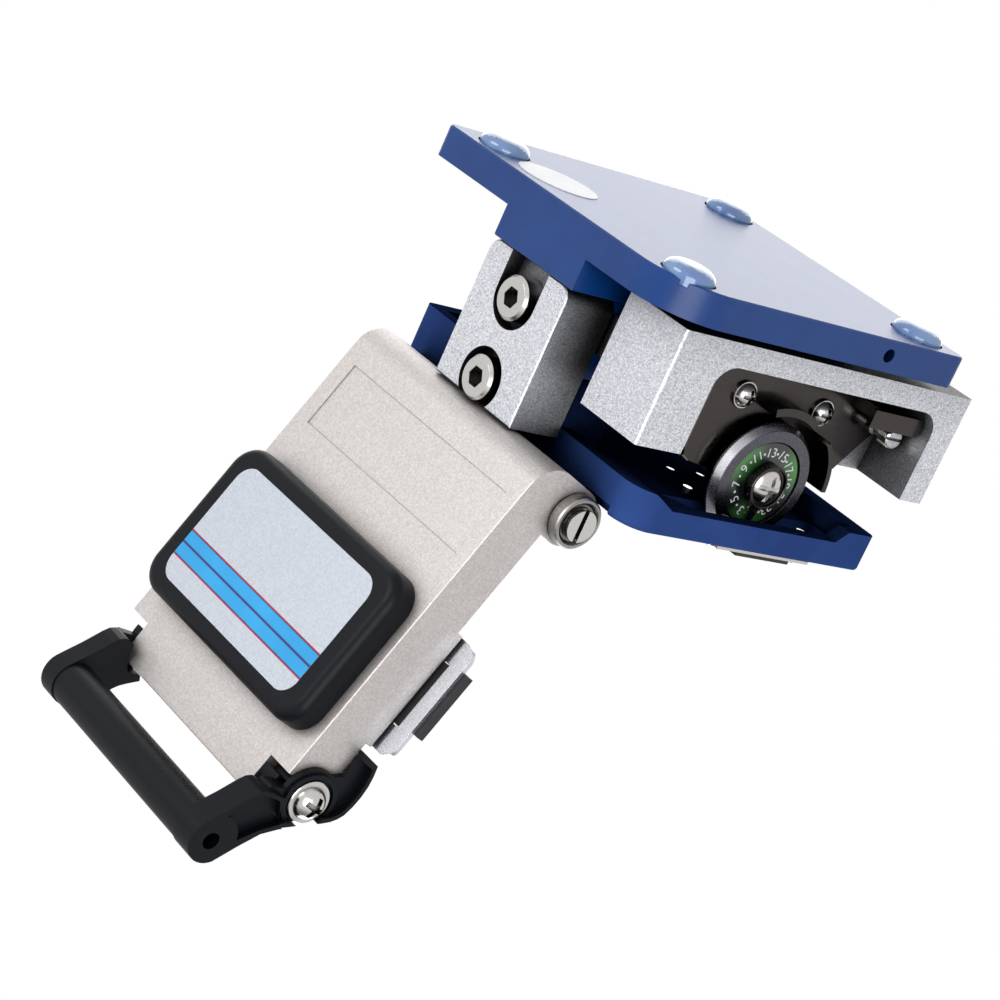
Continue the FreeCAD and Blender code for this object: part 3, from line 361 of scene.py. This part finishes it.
# The base's colour carries a painted shade in its own hollows.
looks["blue_metal"] = blue_enamel(
    "blue_enamel", (0.001, 0.032, 0.165), (0.002, 0.043, 0.200),
    own=True, deep=(10.0, 0.2), coat=0.62, Specular_IOR_Level=0.08,
)
# The platform's colour carries a painted shade from every piece within 45 mm, so the tray's ceiling goes almost
# black.
platform_look = blue_enamel(
    "blue_enamel_platform", (0.028, 0.062, 0.215), (0.034, 0.075, 0.255),
    deep=(45.0, 0.02), Specular_IOR_Level=0.0,
)
print("enamels:", looks["blue_metal"].name, platform_look.name)

# %% [markdown]
# ## Cast and blasted metal
#
# The lever is a nickel-plated casting with a warm, soft tooth, and the slider and the rear block are bead-blasted
# aluminium, which glitters. A plain rough metal would look like grey card. The Spark mask paints that glitter in:
# neighbouring facets get different tones, which is what makes a blasted surface read as metal. The aluminium also
# carries a deep painted shade, which turns its colour almost black in the pockets and gaps.

# %% Cast and blasted metal
looks["nickel_casting"] = finish(
    "nickel_casting", (0.46, 0.43, 0.415), (0.62, 0.585, 0.565), (0.40, 0.58),
    mask="Spark", settings={"Size": 0.26, "Depth": 0.3}, deep=(6.0, 0.3), Metallic=0.7,
)
# Painted shade: near other pieces, out to 24 mm, the aluminium's colour falls as low as 2 per cent.
looks["blasted_aluminium"] = finish(
    "blasted_aluminium", (0.36, 0.365, 0.39), (0.84, 0.85, 0.90), (0.40, 0.62),
    mask="Spark", settings={"Size": 0.19, "Depth": 0.5}, deep=(24.0, 0.02), Metallic=0.85,
)
print("castings:", looks["nickel_casting"].name, looks["blasted_aluminium"].name)

# %% [markdown]
# ## Plastic, rubber and paper
#
# The handle and the label's cushion are moulded in black plastic, the clamp pads are black rubber, the feet are
# clear blue rubber and the disc under the base is white paper. Glass would be the obvious choice for the feet,
# but they are cloudy and sit in blue recesses, so a coloured gloss with a little transmission comes closer.

# %% Plastic, rubber and paper
looks["black_plastic"] = finish(
    "moulded_black_plastic", (0.002, 0.0025, 0.004), (0.005, 0.006, 0.009), (0.36, 0.5),
    settings={"Size": 0.2, "Depth": 0.2}, deep=(4.0, 0.4), Specular_IOR_Level=0.14,
)
looks["black_rubber"] = finish(
    "black_rubber", (0.010, 0.010, 0.011), (0.022, 0.022, 0.024), (0.6, 0.8),
    settings={"Size": 0.15, "Depth": 0.4},
)
looks["clear_blue_rubber"] = finish(
    "clear_blue_rubber", (0.10, 0.20, 0.46), (0.22, 0.36, 0.62), (0.06, 0.12),
    mask="Slow", settings={"Size": 0.8, "Depth": 0.03}, deep=(2.0, 0.8), own=True,
    Transmission_Weight=0.15, IOR=1.45, Coat_Weight=0.7, Coat_Roughness=0.05,
)
looks["white_label"] = finish(
    "white_paper", (0.74, 0.74, 0.76), (0.82, 0.82, 0.84), (0.35, 0.5),
    mask="Slow", settings={"Size": 0.2, "Depth": 0.08}, own=True,
)
print(len(looks), "soft and cast finishes")

# %% [markdown]
# ## Turned and ground metal
#
# Screws, pins and washers are bright steel or nickel, the rail and the guide are ground, the blade's bracket is
# black nickel, and the clamp's plate and the hinge's collar are zinc and satin steel. They could share one metal,
# but side by side their tones differ clearly. All of them use the brushing instead of the grain.

# %% Brushed metal
def brushed(name, low, high, rough, across, lengthwise, depth, deep, metallic=1.0):
    """A bare metal with scratches of a given scale each way."""
    return finish(
        name, low, high, rough, group=brushing, deep=deep, Metallic=metallic,
        settings={"Across": across, "Lengthwise": lengthwise, "Depth": depth},
    )


# The screws' colour falls almost to black in their counterbores, a painted shade.
looks["bright_steel"] = brushed(
    "bright_steel", (0.50, 0.485, 0.47), (0.60, 0.585, 0.57), (0.16, 0.24), 9000.0, 9000.0, 0.08, (2.6, 0.02),
)
looks["ground_steel"] = brushed(
    "ground_steel", (0.34, 0.34, 0.35), (0.50, 0.50, 0.51), (0.25, 0.4), 1500.0, 6000.0, 0.2, (7.0, 0.08),
)
looks["nickel"] = brushed(
    "bright_nickel", (0.70, 0.69, 0.67), (0.80, 0.79, 0.77), (0.12, 0.2), 7000.0, 7000.0, 0.05, (2.0, 0.1),
)
looks["dark_nickel"] = brushed(
    "black_nickel", (0.045, 0.040, 0.038), (0.066, 0.060, 0.057), (0.14, 0.22), 5000.0, 5000.0, 0.04, (5.0, 0.1),
)
zinc_look = brushed(
    "zinc_plate", (0.55, 0.57, 0.62), (0.66, 0.68, 0.74), (0.2, 0.3), 5000.0, 5000.0, 0.05, (1.2, 0.2), 0.9,
)
collar_look = brushed(
    "satin_collar", (0.24, 0.23, 0.22), (0.36, 0.345, 0.335), (0.28, 0.4), 4000.0, 6000.0, 0.1, (2.0, 0.15),
)
print(len(looks), "finishes by slot, and three for single pieces")

# %% [markdown]
# ## Around the wheel's axis
#
# The blade's bright edge and the dial's coloured sectors follow the wheel. They could be cut as separate rings,
# but both can be told from where a point lies: its distance from the axis gives the ring, and its angle round
# the axis gives the sector.

# %% Distance and angle
def around_axis(tree, centre):
    """A point's distance in metres from the line through centre along X, and its angle round that line."""
    place = add(tree, "ShaderNodeTexCoord", -1700, 600)
    shift = add_math(tree, "SUBTRACT", -1500, 600, kind="ShaderNodeVectorMath")
    shift.inputs[1].default_value = centre
    flat = add_math(tree, "MULTIPLY", -1300, 600, kind="ShaderNodeVectorMath")
    flat.inputs[1].default_value = (0, 1, 1)
    length = add_math(tree, "LENGTH", -1100, 700, kind="ShaderNodeVectorMath")
    parts = add(tree, "ShaderNodeSeparateXYZ", -1100, 500)
    angle = add_math(tree, "ARCTAN2", -900, 500)
    link(tree, place.outputs["Object"], shift.inputs[0])
    link(tree, shift.outputs[0], flat.inputs[0])
    link(tree, flat.outputs[0], length.inputs[0])
    link(tree, flat.outputs[0], parts.inputs[0])
    link(tree, parts.outputs["Z"], angle.inputs[0])
    link(tree, parts.outputs["Y"], angle.inputs[1])
    return length.outputs["Value"], angle.outputs[0]


def band_mask(tree, value, low, high, x=-700, y=700):
    """0 below low and 1 above high, in millimetres of value."""
    node = add(tree, "ShaderNodeMapRange", x, y, From_Min=low * MM, From_Max=high * MM)
    link(tree, value, node.inputs["Value"])
    return node.outputs["Result"]


print("wheel axis at", [round(c, 4) for c in dial_centre])

# %% [markdown]
# ## The blade
#
# The wheel is dark carbide, and only its narrow edge is ground. The edge's brighter colour is partly that ground
# finish and partly a painted highlight on the bevel. It starts as a brushed metal, and its colour is then blended
# to a brighter one beyond a certain radius.

# %% Blade steel
# The edge's brighter colour stands partly for the ground finish and partly for a painted highlight.
EDGE_START, EDGE_FULL = 9.35, 9.5   # radii in millimetres between which the ground edge begins


def make_blade_steel():
    material = brushed(
        "carbide_blade", (0.075, 0.074, 0.088), (0.115, 0.113, 0.13), (0.2, 0.3), 3000.0, 6000.0, 0.1, (4.0, 0.3),
    )
    tree = material.node_tree
    colour_input = tree.nodes["Principled BSDF"].inputs["Base Color"]
    dark = colour_input.links[0].from_socket
    radius, _ = around_axis(tree, dial_centre)
    edge = band_mask(tree, radius, EDGE_START, EDGE_FULL)
    bright = ramp(tree, edge, (0.10, 0.10, 0.115), (0.48, 0.48, 0.51), (0.0, 1.0), y=700)
    link(tree, blend_colours(tree, dark, bright, edge, x=0, y=500), colour_input)
    return material


looks["blade_steel"] = make_blade_steel()
print("made", looks["blade_steel"].name)

# %% [markdown]
# ## The dial's face
#
# The dial's colour fades between green and black in broad sectors round the axis, and the green brightens
# outwards.
# An image would do, but a sine of the angle gives the same soft change with no file, and three times the angle
# gives three sectors.

# %% Dial face
SECTORS = 3.0
GREEN_FROM, GREEN_TO = 3.0, 6.9   # radii in millimetres over which the green brightens


def make_dial_face():
    material = finish(
        "dial_face", (0.01, 0.01, 0.01), (0.02, 0.02, 0.02), (0.2, 0.3),
        settings={"Size": 0.2, "Depth": 0.05}, Coat_Weight=0.4, Coat_Roughness=0.2,
    )
    tree = material.node_tree
    radius, angle = around_axis(tree, dial_centre)
    turns = add_math(tree, "MULTIPLY", -700, 500)
    turns.inputs[1].default_value = SECTORS
    wave = add_math(tree, "SINE", -500, 500)
    link(tree, angle, turns.inputs[0])
    link(tree, turns.outputs[0], wave.inputs[0])
    sector = add(tree, "ShaderNodeMapRange", -300, 500, From_Min=0.6, From_Max=-0.9)
    link(tree, wave.outputs[0], sector.inputs["Value"])
    growing = band_mask(tree, radius, GREEN_FROM, GREEN_TO)
    green = ramp(tree, growing, (0.006, 0.012, 0.010), (0.045, 0.20, 0.035), (0.1, 0.9), y=700)
    black = ramp(tree, radius, (0.006, 0.008, 0.010), (0.010, 0.014, 0.018), (0.0, 1.0), y=900)
    face = blend_colours(tree, black, green, sector.outputs["Result"], x=0, y=500)
    link(tree, face, tree.nodes["Principled BSDF"].inputs["Base Color"])
    return material


looks["dial_face"] = make_dial_face()
print("made", looks["dial_face"].name, "with", int(SECTORS), "sectors")

# %% [markdown]
# ## The label, and a finish for every node
#
# The label is a silvery print with a faint sheen. Then each node gets the finish of its slot. Three pieces share
# a slot with others but look different, so they are named one by one.

# %% Assign the finishes
looks["printed_label"] = finish(
    "silver_print", (0.50, 0.535, 0.60), (0.62, 0.655, 0.72), (0.3, 0.42),
    mask="Spark", settings={"Size": 0.3, "Depth": 0.06}, deep=(1.0, 0.8), Metallic=0.3,
)
single = {"platform": platform_look, "clamp_plate": zinc_look, "hinge_collar": collar_look}
for subpart in frame["record"]["subparts"]:
    piece = nodes[subpart["node"]]
    piece.data.materials.clear()
    piece.data.materials.append(single.get(subpart["node"], looks[subpart["material_slot"]]))

# %% [markdown]
# ## Inks
#
# Numbers, ticks and stripes are printed. They could be drawn in the material below them, but a thin piece of
# their own keeps sharp edges at any distance and rides on the body that it is printed on.

# %% Inks and slabs
def flat_finish(name, low, high, rough=(0.35, 0.5)):
    """Ink: like `finish`, with a hardly visible grain."""
    return finish(name, low, high, rough, mask="Slow", settings={"Size": 0.15, "Depth": 0.05}, deep=(1.0, 0.7))


white_ink = flat_finish("white_ink", (0.66, 0.70, 0.69), (0.78, 0.80, 0.80))
cyan_ink = flat_finish("cyan_ink", (0.02, 0.34, 0.72), (0.03, 0.40, 0.80))
navy_ink = flat_finish("navy_ink", (0.02, 0.03, 0.16), (0.03, 0.04, 0.2))
red_ink = flat_finish("red_ink", (0.50, 0.02, 0.03), (0.6, 0.03, 0.04))
black_ink = flat_finish("black_ink", (0.01, 0.01, 0.01), (0.02, 0.02, 0.02))


def slab(name, corner, edge_a, edge_b, edge_c, ink, body):
    """A thin block spanned by three edges from corner, printed in ink and riding on body."""
    bpy.ops.mesh.primitive_cube_add(size=1)
    piece = bpy.context.object
    piece.name = name
    columns = Matrix((edge_a, edge_b, edge_c)).transposed().to_4x4()
    piece.data.transform(Matrix.Translation(corner + (edge_a + edge_b + edge_c) / 2) @ columns)
    piece.data.materials.append(ink)
    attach(piece, body)


print("inks: white, cyan, navy, red, black")

# %% [markdown]
# ## The dial's numbers
#
# The dial counts the blade's positions: the odd numbers stand around it with a dot between each two, and all read
# from the centre. Each number is a text object turned into a mesh, because only a mesh can ride on the wheel.
# Each is drawn flat first, and one matrix then stands it on the dial's face.

# %% Places on the dial
LABELS = list(range(1, 25, 2))
LABEL_AT_BOTTOM = 13
DIAL_SETTING = math.radians(10)   # how far the dial stands turned from its lowest number
TEXT_RADIUS = 5.4 * MM
TEXT_SIZE = 2.3 * MM
TEXT_HALF_DEPTH = 0.02 * MM
DOT_RADIUS, DOT_DEPTH = 0.22 * MM, 0.04 * MM
PRINT_GAP = 0.01 * MM
face_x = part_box("number_dial")[1][0]


def dial_transform(angle, radius):
    """Places a drawing made in XY with its up along +Y so that it faces +X and its up points out from the axis."""
    turn = Matrix(((0, 0, 1), (1, 0, 0), (0, 1, 0))).to_4x4()
    spin = Matrix.Rotation(angle, 4, "X")
    centre = Matrix.Translation(Vector((face_x + PRINT_GAP, dial_centre.y, dial_centre.z)))
    return centre @ spin @ Matrix.Translation((0, 0, radius)) @ turn


def print_on_dial(name, angle):
    """Stands the piece that was just drawn on the dial, in white, and lets it turn with the blade."""
    piece = bpy.context.object
    piece.name = name
    piece.data.transform(dial_transform(angle, TEXT_RADIUS))
    piece.data.materials.append(white_ink)
    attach(piece, "blade")


print("the dial's face is at x", round(face_x / MM, 2), "mm")

# %% Numbers and dots
def dial_number(value, angle):
    bpy.ops.object.text_add()
    text = bpy.context.object
    text.data.body = str(value)
    text.data.size = TEXT_SIZE
    text.data.align_x = "CENTER"
    text.data.align_y = "CENTER"
    text.data.extrude = TEXT_HALF_DEPTH
    bpy.ops.object.convert(target="MESH")
    print_on_dial(f"dial_number_{value}", angle)


def dial_dot(index, angle):
    bpy.ops.mesh.primitive_cylinder_add(vertices=20, radius=DOT_RADIUS, depth=DOT_DEPTH)
    print_on_dial(f"dial_dot_{index}", angle)


step = 2 * math.pi / len(LABELS)
for index, value in enumerate(LABELS):
    angle = math.pi + DIAL_SETTING - step * (index - LABELS.index(LABEL_AT_BOTTOM))
    dial_number(value, angle)
    dial_dot(index, angle - step / 2)
print("dial numbers", LABELS)

# %% [markdown]
# ## The label's stripes
#
# Two cyan bands lie side by side across the label, with a red line outside each and a navy line along every edge.
# Their places are distances along the lever. The height of the label's face is measured on its own mesh, so the
# print always lies on it.

# %% Label stripes
CYAN_BANDS = (40.8, 42.75), (43.15, 45.2)   # from and to along the lever, in millimetres
RED_LINES = (40.45, 40.65), (45.35, 45.55)
NAVY_LINES = (40.65, 40.8), (42.75, 43.15), (45.2, 45.35)
STRIPE_HEIGHT = 0.02
label_low, label_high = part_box("label_plate")
label_mesh = nodes["label_plate"]
label_points = (label_mesh.matrix_world @ vertex.co for vertex in label_mesh.data.vertices)
label_top = max((point - hinge).dot(out) for point in label_points)


def stripe(name, start, stop, ink):
    """A printed line across the label between two distances along the lever, in millimetres."""
    corner = Vector((label_low[0], hinge.y, hinge.z)) + along * (start * MM) + out * label_top
    width = Vector((label_high[0] - label_low[0], 0, 0))
    slab(name, corner, width, along * ((stop - start) * MM), out * (STRIPE_HEIGHT * MM), ink, "lever")


for kind, ink, places in (
    ("band", cyan_ink, CYAN_BANDS), ("red_line", red_ink, RED_LINES), ("navy_line", navy_ink, NAVY_LINES),
):
    for index, (start, stop) in enumerate(places):
        stripe(f"label_{kind}_{index}", start, stop, ink)
print("label stripes on the lever, face", round(label_top / MM, 2), "mm above the hinge axis")

# %% [markdown]
# ## The guide's scale
#
# The fibre guide has a millimetre scale beside its groove, which shows how long the bare fibre is. Every fifth
# tick is longer, as on a ruler. Thin slabs do, in a loop.

# %% Guide ticks
TICKS, TICKS_PER_LONG = 30, 5
LONG_TICK, SHORT_TICK = 2.4, 1.4
TICK_WIDTH, TICK_HEIGHT = 0.16, 0.015
FIRST_TICK, TICK_MARGIN = 2.0, 0.8   # millimetres in from the guide's right end and from its rear edge
guide_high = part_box("fibre_guide")[1]


def tick(index):
    length = LONG_TICK if index % TICKS_PER_LONG == 0 else SHORT_TICK
    corner = Vector((
        guide_high[0] - (FIRST_TICK + index) * MM,
        guide_high[1] - TICK_MARGIN * MM - length * MM,
        guide_high[2],
    ))
    edges = Vector((TICK_WIDTH * MM, 0, 0)), Vector((0, length * MM, 0)), Vector((0, 0, TICK_HEIGHT * MM))
    slab(f"guide_tick_{index}", corner, *edges, black_ink, "base")


for index in range(TICKS):
    tick(index)
print(TICKS, "ticks on the guide")

# %% [markdown]
# ## The floor
#
# The camera looks up at the cleaver from a little below the floor, so a plain floor would hide it. Leaving the
# floor out would lose the shadow in every other view. So its material is plain from above, and clear from below
# and to every ray that isn't the camera's.

# %% Floor
FLOOR_SIZE = 3   # metres
FLOOR_TONE = 0.86


def make_floor():
    bpy.ops.mesh.primitive_plane_add(size=FLOOR_SIZE)
    floor = bpy.context.object
    floor.name = "floor"
    material = bpy.data.materials.new("pale_floor")
    material.use_nodes = True
    tree = material.node_tree
    principled = tree.nodes["Principled BSDF"]
    principled.inputs["Base Color"].default_value = (FLOOR_TONE, FLOOR_TONE, FLOOR_TONE, 1)
    principled.inputs["Roughness"].default_value = 0.8
    geometry = add(tree, "ShaderNodeNewGeometry", -600, 300)
    path = add(tree, "ShaderNodeLightPath", -600, 0)
    other = add_math(tree, "SUBTRACT", -450, 0)
    other.inputs[0].default_value = 1.0
    either = add_math(tree, "MAXIMUM", -300, 200)
    clear = add(tree, "ShaderNodeBsdfTransparent", -300, -200)
    mix = add(tree, "ShaderNodeMixShader", 300, 300)
    link(tree, path.outputs["Is Camera Ray"], other.inputs[1])
    link(tree, geometry.outputs["Backfacing"], either.inputs[0])
    link(tree, other.outputs[0], either.inputs[1])
    link(tree, either.outputs[0], mix.inputs["Fac"])
    link(tree, principled.outputs[0], mix.inputs[1])
    link(tree, clear.outputs[0], mix.inputs[2])
    link(tree, mix.outputs[0], tree.nodes["Material Output"].inputs["Surface"])
    floor.data.materials.append(material)


make_floor()
print("floor", FLOOR_SIZE, "m wide")

# %% [markdown]
# ## The backdrop
#
# A white backdrop behind the cleaver could come from strong lamps on a wall, but they would also burn out the
# pale metal. The world does it instead: the camera and shiny surfaces see it white low down and grey overhead,
# and everything else gets a weak, slightly cool light from it.

# %% World
BACKDROP_STRENGTH, SOFT_STRENGTH = 1.0, 0.3


def make_world():
    """A backdrop that is white low down and grey overhead, and a soft light of its own."""
    world = bpy.data.worlds.new("studio")
    bpy.context.scene.world = world
    world.use_nodes = True
    tree = world.node_tree
    seen = tree.nodes["Background"]
    seen.inputs["Strength"].default_value = BACKDROP_STRENGTH
    direction = add(tree, "ShaderNodeTexCoord", -900, 300)
    height = add(tree, "ShaderNodeSeparateXYZ", -700, 300)
    link(tree, direction.outputs["Generated"], height.inputs[0])
    sky = ramp(tree, height.outputs["Z"], (1, 1, 1), (0.25, 0.25, 0.26), (0.5, 0.9))
    link(tree, sky, seen.inputs["Color"])
    lit = add(tree, "ShaderNodeBackground", 0, -200, Color=(0.93, 0.95, 1.0, 1), Strength=SOFT_STRENGTH)
    path = add(tree, "ShaderNodeLightPath", -500, -200)
    shows = path.outputs["Is Camera Ray"]
    for other in ("Is Glossy Ray", "Is Transmission Ray"):
        most = add_math(tree, "MAXIMUM", -200, -100)
        link(tree, shows, most.inputs[0])
        link(tree, path.outputs[other], most.inputs[1])
        shows = most.outputs[0]
    mix = add(tree, "ShaderNodeMixShader", 200, 0)
    link(tree, shows, mix.inputs["Fac"])
    link(tree, lit.outputs[0], mix.inputs[1])
    link(tree, seen.outputs[0], mix.inputs[2])
    link(tree, mix.outputs[0], tree.nodes["World Output"].inputs["Surface"])


make_world()
print("world", bpy.context.scene.world.name)

# %% [markdown]
# ## The lights
#
# Small lamps would draw hard shadows and hot spots on metal, so all four are large soft squares. The key light
# comes from behind and below, on the camera's side, and the fill from the right. One from the low front gives the
# underside its sheen, and one from the top is for the views from above.

# %% Lights
middle = (Vector(cad_box[0]) + Vector(cad_box[1])) / 2


def area_light(name, direction, distance, size, power):
    """A square soft light that looks at the middle of the object from a direction."""
    data = bpy.data.lights.new(name, "AREA")
    data.size, data.energy = size, power
    light = bpy.data.objects.new(name, data)
    light.location = middle + Vector(direction).normalized() * distance
    light.rotation_euler = (middle - light.location).to_track_quat("-Z", "Y").to_euler()
    light.visible_camera = False
    bpy.context.collection.objects.link(light)


area_light("key", (-0.2, 0.9, -0.5), distance=0.7, size=0.4, power=2.5)
area_light("fill_right", (0.9, 0.5, -0.1), distance=0.7, size=0.5, power=3.6)
area_light("low_front", (-0.7, -0.64, -0.29), distance=0.6, size=0.8, power=3.0)
area_light("top", (-0.2, -0.3, 1.0), distance=0.8, size=0.6, power=3.5)
print("four soft lights")

# %% [markdown]
# ## The camera
#
# The camera stands behind the cleaver, to its right and a little below it, and is rolled almost upside down. It
# could be turned until the cleaver is in the middle, but turning it would also change how the sides run together.
# A shifted lens moves the picture and leaves the perspective alone. The camera's place is measured from the middle
# of the base plate's underside.

# %% Camera
base_low, base_high = (Vector(corner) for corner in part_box("base_casting"))
base_foot = Vector(((base_low.x + base_high.x) / 2, (base_low.y + base_high.y) / 2, base_low.z))
EYE = base_foot + Vector((336.265, 334.541, -76.88)) * MM
RIGHT = Vector((0.5258, -0.7551, -0.3915))
UP = Vector((-0.4693, 0.1264, -0.8739))
LENS, SENSOR_WIDTH = 106.2, 36.0   # millimetres
SHIFT = 0.0773, 0.0397
CLIP = 0.01, 10


def make_camera():
    data = bpy.data.cameras.new("camera")
    data.lens, data.sensor_width = LENS, SENSOR_WIDTH
    data.shift_x, data.shift_y = SHIFT
    data.clip_start, data.clip_end = CLIP
    camera = bpy.data.objects.new("camera", data)
    axes = Matrix((RIGHT, UP, RIGHT.cross(UP))).transposed().to_4x4()
    camera.matrix_world = Matrix.Translation(EYE) @ axes
    bpy.context.collection.objects.link(camera)
    bpy.context.scene.camera = camera


make_camera()
bpy.context.scene.view_settings.view_transform = "Standard"
print("camera at", [round(c, 3) for c in EYE])
